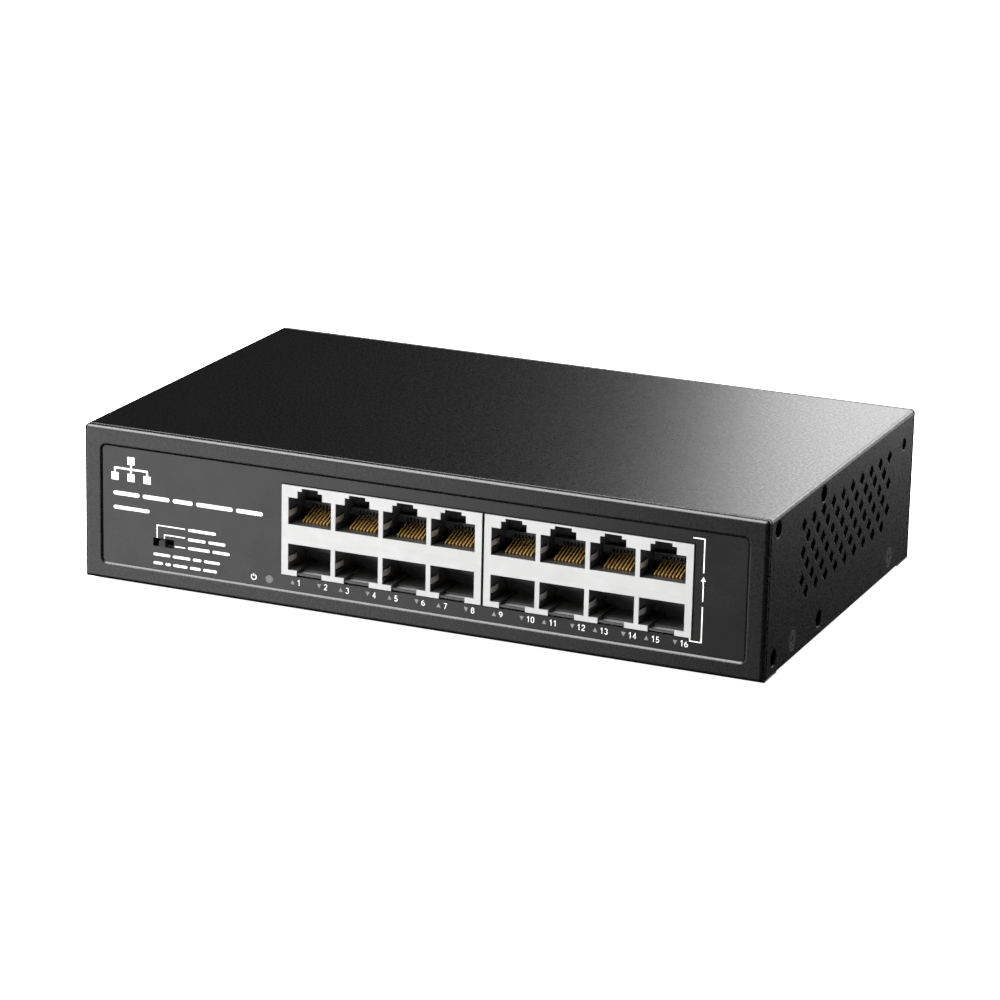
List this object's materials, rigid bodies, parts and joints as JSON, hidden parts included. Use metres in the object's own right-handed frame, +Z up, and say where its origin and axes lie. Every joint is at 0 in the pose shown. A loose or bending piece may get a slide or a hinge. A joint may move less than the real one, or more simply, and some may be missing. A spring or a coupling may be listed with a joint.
{
  "type": "desktop network switch",
  "caption": "Flat black metal box with two blocks of stacked network sockets and a small mode slide switch in its front label, diamond side vents and rack-ear holes.",
  "frame": {"origin": "on the surface that the feet stand on, under the middle of the whole object's box", "axes": "+X to the right along the front, -Y out of the front, +Z up"},
  "size_m": [0.2, 0.1264, 0.0456],
  "materials": {
    "black_powder_coat": "fine-textured powder coat",
    "label_film": "satin printed film",
    "foot_rubber": "matte",
    "black_screw_steel": "black zinc",
    "zinc_steel": "zinc plated",
    "nickel_shield": "bright nickel plate",
    "jack_plastic": "moulded",
    "gold_contact": "gold plate",
    "clear_guide": "clear moulded",
    "lamp_package": "white resin",
    "switch_plastic": "moulded",
    "board_laminate": "solder mask over glass laminate",
    "chip_resin": "moulded resin",
    "pad_silicone": "soft pad",
    "bare_aluminium": "extruded",
    "can_metal": "drawn can",
    "ferrite": "sintered",
    "capacitor_sleeve": "shrink sleeve",
    "mains_cap_case": "moulded box",
    "varistor_epoxy": "dipped epoxy",
    "fuse_glass": "clear tube",
    "tape_yellow": "polyester tape",
    "insulator": "polyester sheet",
    "wire_sleeve": "extruded insulation",
    "connector_nylon": "natural nylon",
    "inlet_plastic": "moulded",
    "tinned_brass": "tinned"
  },
  "bodies": {
    "housing": {"base_chassis": "black_powder_coat", "top_cover": "black_powder_coat", "cover_screws": "black_screw_steel", "front_label": "label_film", "rubber_feet": "foot_rubber", "left_jack_shield": "nickel_shield", "right_jack_shield": "nickel_shield", "left_jack_housing": "jack_plastic", "right_jack_housing": "jack_plastic", "left_jack_contacts": "gold_contact", "right_jack_contacts": "gold_contact", "left_light_guide": "clear_guide", "right_light_guide": "clear_guide", "power_light_guide": "clear_guide", "lamp_leds": "lamp_package", "mode_switch_base": "switch_plastic", "mode_switch_frame": "zinc_steel", "mode_switch_pins": "tinned_brass", "main_board": "board_laminate", "switch_chip": "chip_resin", "thermal_pad": "pad_silicone", "switch_chip_heatsink": "bare_aluminium", "flash_chip": "chip_resin", "crystal": "can_metal", "board_inductors": "ferrite", "board_capacitors": "capacitor_sleeve", "board_standoffs": "zinc_steel", "board_screws": "zinc_steel", "power_board": "board_laminate", "insulating_sheet": "insulator", "mains_fuse": "fuse_glass", "varistor": "varistor_epoxy", "mains_capacitor": "mains_cap_case", "line_choke": "ferrite", "bulk_capacitor": "capacitor_sleeve", "bridge_rectifier": "chip_resin", "power_transistor": "chip_resin", "transistor_heatsink": "bare_aluminium", "transformer_core": "ferrite", "transformer_coil": "tape_yellow", "transformer_bobbin": "chip_resin", "output_capacitors": "capacitor_sleeve", "dc_wires": "wire_sleeve", "dc_headers": "connector_nylon", "dc_plugs": "connector_nylon", "inlet_body": "inlet_plastic", "inlet_pins": "tinned_brass", "earth_washer": "zinc_steel", "earth_screw": "zinc_steel", "port_transformer_1": "chip_resin", "port_transformer_2": "chip_resin", "port_transformer_3": "chip_resin", "port_transformer_4": "chip_resin", "port_transformer_5": "chip_resin", "port_transformer_6": "chip_resin", "port_transformer_7": "chip_resin", "port_transformer_8": "chip_resin"},
    "mode_slider": {"mode_slider": "switch_plastic", "mode_slider_wiper": "tinned_brass"}
  },
  "joints": [
    {"name": "mode_slide", "type": "slide", "parent": "housing", "child": "mode_slider", "axis": [1, 0, 0], "range_m": [-0.002, 0.002]}
  ]
}
